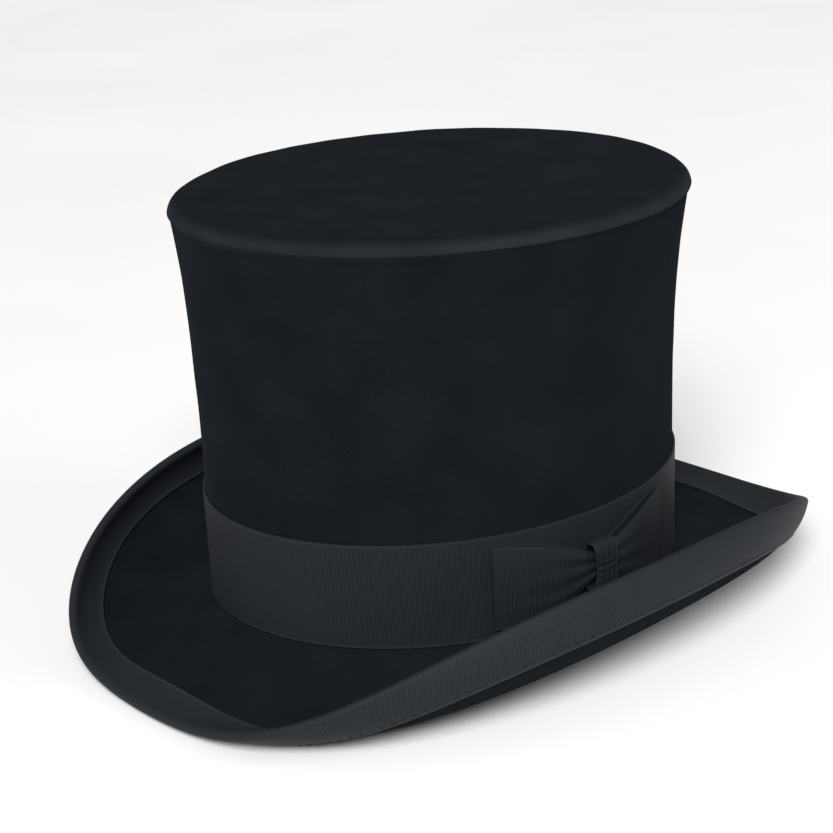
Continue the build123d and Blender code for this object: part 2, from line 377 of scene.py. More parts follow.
def join(parts: Sequence[bpy.types.Object], name: str) -> bpy.types.Object:
    """Join parts into one object and name it."""
    clear_selection()
    for part in parts:
        part.select_set(True)
    bpy.context.view_layer.objects.active = parts[0]
    bpy.ops.object.join()
    whole = bpy.context.object
    whole.name = name
    return whole


def row_of(name: str, length: float, thickness: float, places: Iterable[Matrix]) -> bpy.types.Object:
    """Copy one stitch along a seam.

    Args:
        name: Name of the joined row.
        length: Length of the visible part of one stitch.
        thickness: Thickness of the thread.
        places: Where each stitch lies, with X along the seam and Z out of the surface.

    Returns:
        One object that holds every stitch.
    """
    half_length, half_thickness = length * MM / 2, thickness * MM / 2
    clear_selection()
    bpy.ops.mesh.primitive_uv_sphere_add(segments=8, ring_count=6, radius=1.0)
    stitch = bpy.context.object
    stitch.data.transform(Matrix.Rotation(pi / 2, 4, "Y"))
    stitch.data.transform(Matrix.Diagonal((half_length, half_thickness, half_thickness, 1)))
    copies = []
    for place in places:
        copy = stitch.copy()
        copy.data = stitch.data.copy()
        copy.data.transform(place)
        bpy.context.collection.objects.link(copy)
        copies.append(copy)
    bpy.data.objects.remove(stitch)
    row = join(copies, name)
    soften(row, STITCH_CREASE)
    return row


def seat(place: Vector, ahead: Vector, up: Vector) -> Matrix:
    """Matrix that stands a small part at a place, with X ahead and Z up out of the surface."""
    x = ahead.normalized()
    y = up.cross(x).normalized()
    z = x.cross(y)
    turn = Matrix((x, y, z)).transposed()
    return Matrix.Translation(place) @ turn.to_4x4()


def dress(piece: bpy.types.Object, finish: bpy.types.Material, slot: str, *nodes: str) -> None:
    """Give a finished piece its material, hang it on the hat's body and hide the CAD nodes that it
    stands for.

    Args:
        piece: The finished piece.
        finish: Its material.
        slot: Not used.
        nodes: CAD nodes that the piece stands for.
    """
    piece.data.materials.clear()
    piece.data.materials.append(finish)
    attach(piece, BODY)
    if nodes:
        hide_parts(*nodes)
    log.info("%s: %d faces", piece.name, len(piece.data.polygons))


# ---- Finishes -----------------------------------------------------------------------------------


class Recipe:
    """A material being built: adds shader nodes and joins their sockets."""

    def __init__(self, name: str) -> None:
        """Start a material that holds a Principled BSDF and nothing else."""
        self.material = bpy.data.materials.new(name)
        self.material.use_nodes = True
        self.tree = self.material.node_tree
        self.shader = self.tree.nodes["Principled BSDF"]

    def set(self, **values: object) -> None:
        """Set sockets of the shader, named in lower case with underscores."""
        for socket in self.shader.inputs:
            key = socket.name.lower().replace(" ", "_")
            if key in values:
                socket.default_value = values[key]

    def node(
        self, kind: str, inputs: dict[object, object] | None = None, **settings: object
    ) -> bpy.types.Node:
        """Add a node, set its properties, and set or join its inputs.

        Args:
            kind: Shader node type without its prefix.
            inputs: Values or output sockets by input name or index.
            settings: Properties of the node.

        Returns:
            The new node.
        """
        node = self.tree.nodes.new("ShaderNode" + kind)
        for key, value in settings.items():
            setattr(node, key, value)
        for key, value in (inputs or {}).items():
            if isinstance(value, bpy.types.NodeSocket):
                self.tree.links.new(value, node.inputs[key])
            else:
                node.inputs[key].default_value = value
        return node

    def coordinates(self, kind: str) -> Socket:
        """Coordinates of the piece: its Object axes or its UV map."""
        return self.node("TexCoord").outputs[kind]

    def axis(self, where: Socket, number: int) -> Socket:
        """One axis of a coordinate."""
        return self.node("SeparateXYZ", {0: where}).outputs[number]

    def maths(self, operation: str, *values: object) -> Socket:
        """Add a Math node and return its output."""
        return self.node("Math", dict(enumerate(values)), operation=operation).outputs[0]

    def plus(self, first: object, second: object) -> Socket:
        """Sum of two values."""
        return self.maths("ADD", first, second)

    def times(self, first: object, second: object) -> Socket:
        """Product of two values."""
        return self.maths("MULTIPLY", first, second)

    def away(self, first: object, second: object) -> Socket:
        """Distance between two values."""
        return self.maths("ABSOLUTE", self.maths("SUBTRACT", first, second))

    def ridges(self, value: Socket, count: float) -> Socket:
        """Row of round ridges along a value, one for each half turn of the count."""
        return self.maths("ABSOLUTE", self.maths("SINE", self.times(value, count)))

    def from_edge(self, value: Socket) -> Socket:
        """Share of the width between a place and the nearer edge."""
        return self.maths("MINIMUM", value, self.maths("SUBTRACT", 1.0, value))

    def window(self, value: Socket, low: float, high: float) -> Socket:
        """Rise from 0 to 1 as a value goes from low to high."""
        return self.node("MapRange", {"Value": value, "From Min": low, "From Max": high}).outputs[0]

    def spread(self, value: Socket, low: float, high: float) -> Socket:
        """Map a grey value from 0..1 to low..high."""
        return self.node("MapRange", {"Value": value, "To Min": low, "To Max": high}).outputs[0]

    def noise(self, where: Socket, scale: float | Place, detail: float) -> Socket:
        """Add a Noise texture.

        Args:
            where: Coordinates that it is read at.
            scale: Fineness, as one number or as one for each axis.
            detail: Number of finer layers in it.

        Returns:
            Its grey output.
        """
        if isinstance(scale, tuple):
            where = self.node("Mapping", {"Vector": where, "Scale": scale}).outputs[0]
            scale = 1.0
        inputs = {"Vector": where, "Scale": scale, "Detail": detail}
        return self.node("TexNoise", inputs).outputs["Fac"]

    def ramp(self, value: Socket, span: Span, dark: Colour, light: Colour) -> Socket:
        """Turn a grey value into a colour, dark before the span and light after it."""
        node = self.node("ValToRGB", {"Fac": value})
        for i, colour in enumerate((dark, light)):
            node.color_ramp.elements[i].position = span[i]
            node.color_ramp.elements[i].color = (*colour, 1.0)
        return node.outputs["Color"]

    def relief(self, *layers: tuple[Socket, Relief]) -> Socket:
        """Stack Bump nodes, the first at the bottom.

        Args:
            layers: Height of each bump, with its depth in millimetres and its strength.

        Returns:
            The bumped normal.
        """
        normal = None
        for height, (depth, strength) in layers:
            inputs = {"Height": height, "Distance": depth * MM, "Strength": strength}
            if normal is not None:
                inputs["Normal"] = normal
            normal = self.node("Bump", inputs).outputs[0]
        return normal

    def finish(self, colour: Socket, roughness: Socket, normal: Socket) -> bpy.types.Material:
        """Join the colour, roughness and normal to the shader and return the material."""
        for name, socket in (("Base Color", colour), ("Roughness", roughness), ("Normal", normal)):
            self.tree.links.new(socket, self.shader.inputs[name])
        return self.material


@dataclass(frozen=True)
class Felt:
    """Matte black wool felt: matted fibres, a faint nap and slight mottling, with a painted highlight
    and wear along the crown's top edge.
    """

    root_z: float
    name: str = "wool_felt"
    dark: Colour = (0.0048, 0.0060, 0.0073)
    light: Colour = (0.0090, 0.0113, 0.0137)
    # Lighter colour painted in a band round the crown's top edge: a painted highlight, also standing for
    # nap worn thin there.
    edge_wear_and_highlight: Colour = (0.0200, 0.0235, 0.0270)
    span: Span = (0.3, 0.7)
    mottle_grain: Grain = (38.0, 4.0)
    fibre_grain: Grain = (1500.0, 6.0)
    nap_grain: Grain = ((420.0, 420.0, 300.0), 4.0)
    # wear_grain and wear set how patchy the painted edge highlight and wear are.
    wear_grain: Grain = (60.0, 3.0)
    fibre_share: float = 0.5
    wear: Span = (0.2, 1.0)
    mottle_relief: Relief = (0.5, 0.25)
    nap_relief: Relief = (0.25, 0.5)
    fibre_relief: Relief = (0.22, 0.6)
    roughness: Span = (0.82, 1.0)
    sheen: float = 0.014
    sheen_roughness: float = 0.5
    sheen_tint: Colour = (0.72, 0.86, 1.0)
    gloss: float = 0.0
    # Height and reach of the band of painted edge highlight and wear.
    edge_height: float = 159.8
    edge_reach: float = 4.2

    def build(self) -> bpy.types.Material:
        """Make the material."""
        recipe = Recipe(self.name)
        where = recipe.coordinates("Object")
        mottle = recipe.noise(where, *self.mottle_grain)
        fibre = recipe.noise(where, *self.fibre_grain)
        nap = recipe.noise(where, *self.nap_grain)
        patches = recipe.times(mottle, 1 - self.fibre_share)
        shade = recipe.plus(patches, recipe.times(fibre, self.fibre_share))
        colour = recipe.ramp(shade, self.span, self.dark, self.light)
        # Mix the painted edge highlight and wear into the felt's colour.
        mix = {0: self.edge_wear_and_highlight_share(recipe, where), 6: colour, 7: (*self.edge_wear_and_highlight, 1.0)}
        colour = recipe.node("Mix", mix, data_type="RGBA").outputs[2]
        normal = recipe.relief(
            (mottle, self.mottle_relief), (nap, self.nap_relief), (fibre, self.fibre_relief)
        )
        recipe.set(
            sheen_weight=self.sheen,
            sheen_roughness=self.sheen_roughness,
            sheen_tint=(*self.sheen_tint, 1.0),
            specular_ior_level=self.gloss,
        )
        return recipe.finish(colour, recipe.spread(fibre, *self.roughness), normal)

    def edge_wear_and_highlight_share(self, recipe: Recipe, where: Socket) -> Socket:
        """Share of painted highlight and wear: greatest at the crown's edge, where a lighter colour
        stands in for the edge's highlight and for nap brushed thin.
        """
        away = recipe.away(recipe.axis(where, 2), self.root_z + self.edge_height * MM)
        fall = {"Value": away, "From Max": self.edge_reach * MM, "To Min": 1.0, "To Max": 0.0}
        near = recipe.node("MapRange", fall, interpolation_type="SMOOTHSTEP").outputs[0]
        patch = recipe.spread(recipe.noise(where, *self.wear_grain), *self.wear)
        return recipe.times(near, patch)


@dataclass(frozen=True)
class Grosgrain:
    """Ribbed ribbon: fine cross ribs with painted shade in the grooves between them, round woven edges
    and a low sheen.

    Sizes are in millimetres. The selvage is blended in over a span of its own width.
    """

    name: str
    length: float
    width: float
    dark: Colour = (0.0050, 0.0060, 0.0074)
    light: Colour = (0.0190, 0.0225, 0.0275)
    span: Span = (0.05, 0.95)
    rib: float = 0.85
    selvage: float = 0.9
    selvage_blend: Span = (0.6, 1.4)
    thread_size: Span = (0.5, 0.2)
    thread_detail: float = 2.0
    thread_shade: Span = (0.55, 1.1)
    cloud_size: float = 14.0
    cloud_detail: float = 3.0
    cloud_shade: Span = (0.8, 1.15)
    thread_relief: Relief = (0.05, 0.5)
    rib_relief: Relief = (0.07, 0.9)
    roughness: Span = (0.48, 0.68)
    sheen: float = 0.012
    sheen_roughness: float = 0.4
    sheen_tint: Colour = (0.7, 0.76, 0.85)
    gloss: float = 0.09

    def build(self) -> bpy.types.Material:
        """Make the material. The ribs run across the piece's UV map."""
        recipe = Recipe(self.name)
        uv = recipe.coordinates("UV")
        rib_height_and_shade = recipe.ridges(recipe.axis(uv, 0), pi * round(self.length / self.rib))
        start, end = (self.selvage / self.width * share for share in self.selvage_blend)
        inner = recipe.window(recipe.from_edge(recipe.axis(uv, 1)), start, end)
        rib_height_and_shade = recipe.plus(recipe.times(rib_height_and_shade, inner), recipe.maths("SUBTRACT", 1.0, inner))
        along, across = self.thread_size
        thread = recipe.noise(uv, (self.length / along, self.width / across, 1.0), self.thread_detail)
        cloud_scale = (self.length / self.cloud_size, self.width / self.cloud_size, 1.0)
        cloud = recipe.noise(uv, cloud_scale, self.cloud_detail)
        # Grooves between ribs painted dark and rib tops light: painted shade, with random thread and
        # cloud tone on top.
        shade = recipe.times(rib_height_and_shade, recipe.spread(thread, *self.thread_shade))
        shade = recipe.times(shade, recipe.spread(cloud, *self.cloud_shade))
        colour = recipe.ramp(shade, self.span, self.dark, self.light)
        normal = recipe.relief((thread, self.thread_relief), (rib_height_and_shade, self.rib_relief))
        recipe.set(
            sheen_weight=self.sheen,
            sheen_roughness=self.sheen_roughness,
            sheen_tint=(*self.sheen_tint, 1.0),
            specular_ior_level=self.gloss,
        )
        return recipe.finish(colour, recipe.spread(thread, *self.roughness), normal)


@dataclass(frozen=True)
class Satin:
    """Smooth black satin with a soft streaky gloss along the cloth. Sizes are in millimetres.

    A level piece takes its threads from the room's axes instead of from its UV map.
    """

    name: str
    length: float
    width: float
    level: bool = False
    dark: Colour = (0.008, 0.008, 0.0095)
    light: Colour = (0.022, 0.022, 0.026)
    span: Span = (0.2, 0.8)
    thread_size: Span = (5.0, 0.25)
    thread_detail: float = 3.0
    crease_size: Span = (20.0, 30.0)
    crease_detail: float = 5.0
    crease_shade: Span = (0.6, 1.4)
    crease_relief: Relief = (1.2, 0.35)
    thread_relief: Relief = (0.05, 0.5)
    roughness: Span = (0.26, 0.42)
    gloss: float = 0.6
    streak: float = 0.5
    sheen: float = 0.1
    sheen_roughness: float = 0.3

    def build(self) -> bpy.types.Material:
        """Make the material."""
        recipe = Recipe(self.name)
        where = recipe.coordinates("Object" if self.level else "UV")
        length, width = (1 / MM, 1 / MM) if self.level else (self.length, self.width)
        along, across = self.thread_size
        thread = recipe.noise(where, (length / along, width / across, 1.0), self.thread_detail)
        along, across = self.crease_size
        crease = recipe.noise(where, (length / along, width / across, 1.0), self.crease_detail)
        shade = recipe.times(thread, recipe.spread(crease, *self.crease_shade))
        colour = recipe.ramp(shade, self.span, self.dark, self.light)
        normal = recipe.relief((crease, self.crease_relief), (thread, self.thread_relief))
        recipe.set(
            specular_ior_level=self.gloss,
            anisotropic=self.streak,
            sheen_weight=self.sheen,
            sheen_roughness=self.sheen_roughness,
        )
        return recipe.finish(colour, recipe.spread(thread, *self.roughness), normal)


@dataclass(frozen=True)
class Leather:
    """Thin dark sweatband leather: fine pebbled grain, pores and a tooled line near the top."""

    name: str = "sweatband_leather"
    dark: Colour = (0.011, 0.0072, 0.0052)
    light: Colour = (0.034, 0.022, 0.0155)
    span: Span = (0.3, 0.85)
    pebble_scale: float = 850.0
    pore_grain: Grain = (2400.0, 3.0)
    pore_share: float = 0.3
    wear_grain: Grain = (45.0, 4.0)
    line_height: float = 0.9
    line_width: float = 0.014
    pebble_relief: Relief = (0.12, 0.5)
    pore_relief: Relief = (0.05, 0.4)
    line_relief: Relief = (0.4, 1.0)
    roughness: Span = (0.42, 0.62)
    gloss: float = 0.4

    def build(self) -> bpy.types.Material:
        """Make the material."""
        recipe = Recipe(self.name)
        where = recipe.coordinates("Object")
        cells = {"Vector": where, "Scale": self.pebble_scale}
        pebble = recipe.node("TexVoronoi", cells, feature="DISTANCE_TO_EDGE").outputs[0]
        pore = recipe.noise(where, *self.pore_grain)
        wear = recipe.noise(where, *self.wear_grain)
        from_line = recipe.away(recipe.axis(recipe.coordinates("UV"), 1), self.line_height)
        line = recipe.window(from_line, 0.0, self.line_width)
        shade = recipe.times(recipe.plus(wear, recipe.times(pore, self.pore_share)), line)
        colour = recipe.ramp(shade, self.span, self.dark, self.light)
        normal = recipe.relief(
            (pebble, self.pebble_relief), (pore, self.pore_relief), (line, self.line_relief)
        )
        recipe.set(specular_ior_level=self.gloss)
        return recipe.finish(colour, recipe.spread(wear, *self.roughness), normal)


@dataclass(frozen=True)
class Thread:
    """Twisted sewing thread."""

    name: str = "sewing_thread"
    dark: Colour = (0.004, 0.0045, 0.0055)
    light: Colour = (0.020, 0.0225, 0.0265)
    span: Span = (0.1, 0.9)
    slant: Place = (0.5, 0.4, 0.6)
    twist_scale: float = 900.0
    twist_wobble: float = 0.5
    fuzz_grain: Grain = (4000.0, 2.0)
    fuzz_shade: Span = (0.6, 1.2)
    twist_relief: Relief = (0.12, 0.8)
    roughness: Span = (0.5, 0.75)
    sheen: float = 0.03
    gloss: float = 0.15

    def build(self) -> bpy.types.Material:
        """Make the material."""
        recipe = Recipe(self.name)
        where = recipe.coordinates("Object")
        slanted = recipe.node("Mapping", {"Vector": where, "Rotation": self.slant}).outputs[0]
        wave = {"Vector": slanted, "Scale": self.twist_scale, "Distortion": self.twist_wobble}
        twist = recipe.node("TexWave", wave).outputs["Fac"]
        fuzz = recipe.noise(where, *self.fuzz_grain)
        shade = recipe.times(twist, recipe.spread(fuzz, *self.fuzz_shade))
        colour = recipe.ramp(shade, self.span, self.dark, self.light)
        recipe.set(sheen_weight=self.sheen, specular_ior_level=self.gloss)
        normal = recipe.relief((twist, self.twist_relief))
        return recipe.finish(colour, recipe.spread(fuzz, *self.roughness), normal)


@dataclass(frozen=True)
class Label:
    """Blank woven tape in off-white with a plain darker border."""

    name: str = "label_tape"
    dark: Colour = (0.3, 0.285, 0.25)
    light: Colour = (0.46, 0.44, 0.39)
    span: Span = (0.2, 0.9)
    warp: float = 170.0
    weft: float = 110.0
    weave_shade: Span = (0.5, 1.0)
    border: float = 0.06
    border_blend: float = 1.3
    border_shade: Span = (0.25, 1.0)
    weave_relief: Relief = (0.08, 0.7)
    roughness: Span = (0.9, 0.7)
    sheen: float = 0.15
    gloss: float = 0.25

    def build(self) -> bpy.types.Material:
        """Make the material."""
        recipe = Recipe(self.name)
        uv = recipe.coordinates("UV")
        along, across = recipe.axis(uv, 0), recipe.axis(uv, 1)
        weave = recipe.times(recipe.ridges(along, self.warp), recipe.ridges(across, self.weft))
        ground = recipe.window(recipe.from_edge(across), self.border, self.border * self.border_blend)
        cloth, edge = recipe.spread(weave, *self.weave_shade), recipe.spread(ground, *self.border_shade)
        colour = recipe.ramp(recipe.times(cloth, edge), self.span, self.dark, self.light)
        recipe.set(sheen_weight=self.sheen, specular_ior_level=self.gloss)
        normal = recipe.relief((weave, self.weave_relief))
        return recipe.finish(colour, recipe.spread(weave, *self.roughness), normal)


@dataclass(frozen=True)
class Reed:
    """Dull cord covered in the sweatband's thin tape."""

    name: str = "reed_cord"
    dark: Colour = (0.008, 0.0075, 0.007)
    light: Colour = (0.028, 0.026, 0.024)
    span: Span = (0.2, 0.8)
    weave_grain: Grain = ((1400.0, 1400.0, 2600.0), 3.0)
    cloud_grain: Grain = (70.0, 3.0)
    cloud_shade: Span = (0.6, 1.4)
    weave_relief: Relief = (0.1, 0.6)
    roughness: Span = (0.6, 0.85)
    gloss: float = 0.3

    def build(self) -> bpy.types.Material:
        """Make the material."""
        recipe = Recipe(self.name)
        where = recipe.coordinates("Object")
        weave = recipe.noise(where, *self.weave_grain)
        cloud = recipe.noise(where, *self.cloud_grain)
        shade = recipe.times(weave, recipe.spread(cloud, *self.cloud_shade))
        colour = recipe.ramp(shade, self.span, self.dark, self.light)
        recipe.set(specular_ior_level=self.gloss)
        normal = recipe.relief((weave, self.weave_relief))
        return recipe.finish(colour, recipe.spread(weave, *self.roughness), normal)


@dataclass(frozen=True)
class PaleFloor:
    """Matte pale sweep under the hat."""

    name: str = "pale_floor"
    dark: Colour = (0.86, 0.86, 0.86)
    light: Colour = (0.9, 0.9, 0.9)
    span: Span = (0.3, 0.7)
    cloud_grain: Grain = (3.0, 3.0)
    grit_grain: Grain = (400.0, 3.0)
    grit_relief: Relief = (0.05, 0.1)
    roughness: Span = (0.85, 0.95)
    gloss: float = 0.1

    def build(self) -> bpy.types.Material:
        """Make the material."""
        recipe = Recipe(self.name)
        where = recipe.coordinates("Object")
        cloud = recipe.noise(where, *self.cloud_grain)
        colour = recipe.ramp(cloud, self.span, self.dark, self.light)
        recipe.set(specular_ior_level=self.gloss)
        normal = recipe.relief((recipe.noise(where, *self.grit_grain), self.grit_relief))
        return recipe.finish(colour, recipe.spread(cloud, *self.roughness), normal)


# ---- Sub-assemblies -------------------------------------------------------------------------------


@dataclass
class Crown:
    """Bell-shaped crown of one blocked piece of felt."""

    oval: HeadOval
    shape: CrownShape
    columns: int = 256
    side_rings: int = 44
    edge_rings: int = 10
    tip_rings: int = 12
    foot: float = 0.15
    unevenness: float = 0.5
    still_height: float = 50.0
    swell_scale: float = 22.0
    dent_scale: float = 70.0
    dent_share: float = 0.4
    inward: float = 0.4
    crease: float = 40.0

    def rings(self) -> list[Place]:
        """Half width, half length and height of each ring, from the foot to the tip's middle."""
        shape = self.shape
        shoulder = shape.height - shape.edge_radius
        rings = []
        for i in range(self.side_rings + 1):
            up = self.foot + (shoulder - self.foot) * i / self.side_rings
            rings.append((*shape.half_axes(self.oval, 0.0, up), up))
        wide_x, wide_y = shape.half_axes(self.oval, 0.0, shape.height)
        for i in range(1, self.edge_rings + 1):
            turn = pi / 2 * i / self.edge_rings
            back = shape.edge_radius * (1 - cos(turn))
            rings.append((wide_x - back, wide_y - back, shoulder + shape.edge_radius * sin(turn)))
        flat_x, flat_y, top = rings[-1]
        for i in range(1, self.tip_rings):
            left = 1 - i / self.tip_rings
            rings.append((flat_x * left, flat_y * left, top))
        return rings

    def build(self) -> bpy.types.Object:
        """Raise a circle ring by ring into the crown, close the tip and give it its wall."""
        clear_selection()
        bpy.ops.mesh.primitive_circle_add(vertices=self.columns, radius=1.0)
        crown = bpy.context.object
        crown.name = "felt_crown"
        bpy.ops.object.mode_set(mode="EDIT")
        bpy.ops.mesh.select_all(action="SELECT")
        rings = self.rings()
        half_x, half_y, up = rings[0]
        centre = (0.0, self.oval.centre_y, self.oval.root_z + up * MM)
        bpy.ops.transform.resize(value=(half_x * MM, half_y * MM, 1.0))
        bpy.ops.transform.translate(value=centre)
        for wider_x, wider_y, higher in rings[1:]:
            rise = (0.0, 0.0, (higher - up) * MM)
            bpy.ops.mesh.extrude_region_move(TRANSFORM_OT_translate={"value": rise})
            centre = (0.0, self.oval.centre_y, self.oval.root_z + higher * MM)
            growth = (wider_x / half_x, wider_y / half_y, 1.0)
            bpy.ops.transform.resize(value=growth, center_override=centre)
            half_x, half_y, up = wider_x, wider_y, higher
        bpy.ops.mesh.extrude_region_move(TRANSFORM_OT_translate={"value": (0.0, 0.0, 0.0)})
        bpy.ops.mesh.merge(type="CENTER")
        bpy.ops.object.mode_set(mode="OBJECT")
        weld(crown, outside=True)
        self.wander(crown)
        thicken(crown, self.shape.felt, -1.0)
        soften(crown, self.crease)
        return crown

    def wander(self, crown: bpy.types.Object) -> None:
        """Add the slight dents and swells of real felt above the band."""
        normals = [vertex.normal.copy() for vertex in crown.data.vertices]
        for vertex, normal in zip(crown.data.vertices, normals):
            height = (vertex.co.z - self.oval.root_z) / MM
            share = ease(0.0, 1.0, (height - self.still_height) / self.still_height)
            dent = noise.noise(vertex.co * self.dent_scale)
            swell = noise.noise(vertex.co * self.swell_scale) + self.dent_share * dent
            vertex.co += normal * (self.unevenness * share * (swell - self.inward) * MM)

    def dress(self, felt: bpy.types.Material) -> None:
        """Build the crown and hand it to the frame."""
        dress(self.build(), felt, "felt", "crown_felt")


@dataclass
class Brim:
    """Curled brim of felt, the ribbon bound over its edge, and the ribbon's stitches."""

    oval: HeadOval
    shape: BrimShape
    columns: int = 360
    collar_height: float = 11.0
    collar_outside: float = -2.15
    bend: float = 2.2
    gap: float = 0.15
    ribbon: float = 0.7
    depth: float = 16.0
    ribbon_light: Colour = (0.0225, 0.0265, 0.0320)
    stitch_inset: float = 2.0
    stitch_length: float = 2.4
    thread: float = 0.45
    thread_rise: float = 0.25
    stitches: int = 236
    pucker: float = 0.12
    pucker_pace: float = 22.0
    bend_points: int = 6
    collar_points: int = 3
    ribbon_points: int = 9
    fold_points: int = 8
    crease: float = 35.0

    def section(self, angle: float) -> list[tuple[float, float]]:
        """Outline of the felt at one angle, as (out, up), starting and ending at the seat."""
        half = self.shape.felt / 2
        line = self.shape.line(angle)
        upper = [beside(place, half) for place in line]
        under = [beside(place, -half) for place in reversed(line)]
        inside = self.collar_outside - self.shape.felt
        end_out, end_up = under[-1]
        bend = []
        for i in range(1, self.bend_points + 1):
            turn = pi / 2 * i / self.bend_points
            out = end_out - (end_out - inside) * sin(turn)
            bend.append((out, self.bend - (self.bend - end_up) * cos(turn)))
        count, height = self.collar_points, self.collar_height
        rise = [(inside, self.bend + (height - self.bend) * i / count) for i in range(1, count + 1)]
        drop = [(self.collar_outside, height * (1 - i / count)) for i in range(count + 1)]
        return drop + upper + under + bend + rise

    def build_felt(self) -> bpy.types.Object:
        """Carry the outline round the oval and close it into one solid ring."""
        outlines = []
        for i in range(self.columns + 1):
            outline = self.section(2 * pi * (i % self.columns) / self.columns)
            outlines.append(outline + outline[:1])

        def surface(along: float, across: float) -> Vector:
            """Place on the felt's outline, carried round the oval."""
            column = round(along * self.columns)
            out, up = outlines[column][round(across * (len(outlines[0]) - 1))]
            return self.oval.spot(2 * pi * column / self.columns, out, up)

        felt = grid("felt_brim", self.columns, len(outlines[0]) - 1, surface)
        weld(felt, outside=True)
        soften(felt, self.crease)
        return felt

    def across_ribbon(self, angle: float) -> list[tuple[float, float]]:
        """Middle of the ribbon at one angle, from its upper edge round to its lower edge."""
        away = self.shape.felt / 2 + self.gap + self.ribbon / 2
        places = self.shape.stretch(angle, self.depth, self.ribbon_points)
        out, up, slope = places[-1]
        fold = []
        for i in range(self.fold_points + 1):
            turn = pi / 2 - pi * i / self.fold_points
            ahead = self.gap + away * cos(turn)
            tip = (out + ahead * cos(slope), up + ahead * sin(slope), slope)
            fold.append(beside(tip, away * sin(turn)))
        upper = [beside(place, away) for place in places[:-1]]
        under = [beside(place, -away) for place in reversed(places[:-1])]
        return upper + fold + under

    def ribbon_width(self) -> float:
        """Width of the flat ribbon, over both faces and the edge."""
        return 2 * self.depth + pi * (self.shape.felt / 2 + self.gap + self.ribbon / 2)

    def ribbon_length(self, count: int = 720) -> float:
        """Length of the ribbon, measured along its middle on the brim edge."""
        ends = []
        for i in range(count):
            angle = 2 * pi * i / count
            out, up, _ = self.shape.line(angle)[-1]
            ends.append(self.oval.spot(angle, out, up))
        steps = ((a - b).length for a, b in zip(ends, ends[1:] + ends[:1]))
        return sum(steps) / MM

    def build_binding(self) -> bpy.types.Object:
        """Fold the ribbon over the brim's edge, with a slight pucker where it is drawn in."""
        columns = self.columns * 2
        outlines = [self.across_ribbon(2 * pi * (i % columns) / columns) for i in range(columns + 1)]
        last = len(outlines[0]) - 1
        sewn_edge, flat_part, inward_steps = 6, 0.05, 6

        def surface(along: float, across: float) -> Vector:
            """Place on the middle of the folded ribbon, puckered along its upper edge."""
            column, row = round(along * columns), round(across * last)
            angle = 2 * pi * (column % columns) / columns
            out, up = outlines[column][row]
            edge = abs(2 * across - 1) ** sewn_edge
            if across > 0.5 or edge < flat_part:
                return self.oval.spot(angle, out, up)
            pucker = self.pucker * edge * (1 + ripple(angle, self.pucker_pace, across))
            slope = self.shape.line(angle)[-inward_steps][2]
            return self.oval.spot(angle, *beside((out, up, slope), pucker))

        return cloth("edge_ribbon", columns, last, surface, self.ribbon)

    def build_stitches(self, face: Face) -> bpy.types.Object:
        """Sew the ribbon down on one face of the brim."""
        surface = self.shape.felt / 2 + self.gap + self.ribbon
        reach = face.value * (surface + self.thread * self.thread_rise)
        depth = self.depth - self.stitch_inset
        angles = self.oval.even_angles(self.stitches)
        lines = [self.shape.stretch(angle, depth, 2)[0] for angle in angles]
        spots = [self.oval.spot(angle, *beside(line, reach)) for angle, line in zip(angles, lines)]
        places = []
        for i, angle in enumerate(angles):
            ahead = spots[(i + 1) % self.stitches] - spots[i - 1]
            slope = lines[i][2]
            x, y = self.oval.outward(angle)
            up = Vector((-x * sin(slope), -y * sin(slope), cos(slope))) * face.value
            places.append(seat(spots[i], ahead, up))
        return row_of(f"binding_thread_{face.name.lower()}", self.stitch_length, self.thread, places)

    def dress(self, felt: bpy.types.Material, thread: bpy.types.Material) -> None:
        """Build the brim's pieces and hand them to the frame."""
        dress(self.build_felt(), felt, "felt", "brim_felt")
        width, length = self.ribbon_width(), self.ribbon_length()
        binding = self.build_binding()
        ribbon = Grosgrain("binding_grosgrain", length, width, light=self.ribbon_light)
        dress(binding, ribbon.build(), "binding_ribbon", "brim_binding")
        dress(self.build_stitches(Face.UPPER), thread, "thread", "binding_stitches")
        dress(self.build_stitches(Face.UNDER), thread, "thread")


@dataclass
class Band:
    """Wide ribbon round the foot of the crown."""

    oval: HeadOval
    height: float = 43.0
    lift: float = 0.4
    ribbon: float = 0.9
    gap: float = 0.15
    looseness: float = 0.25
    loose_pace: float = 5.0
    loose_row: float = 3.0
    columns: int = 480
    rows: int = 16

    def build(self) -> bpy.types.Object:
        """Wrap the ribbon round the crown, its upper edge standing a hair off the felt."""
        middle = self.gap + self.ribbon / 2

        def surface(along: float, across: float) -> Vector:
            """Place on the middle of the band."""
            angle = 2 * pi * along
            loose = self.looseness * across**3 * (1 + ripple(angle, self.loose_pace, self.loose_row))
            return self.oval.spot(angle, middle + loose, self.lift + self.height * across)

        return cloth("ribbon_band", self.columns, self.rows, surface, self.ribbon)

    def dress(self) -> None:
        """Build the band and hand it to the frame."""
        band = self.build()
        length = self.oval.girth(self.gap + self.ribbon / 2)
        ribbon = Grosgrain("band_grosgrain", length, self.height)
        dress(band, ribbon.build(), "band_ribbon", "hat_band")


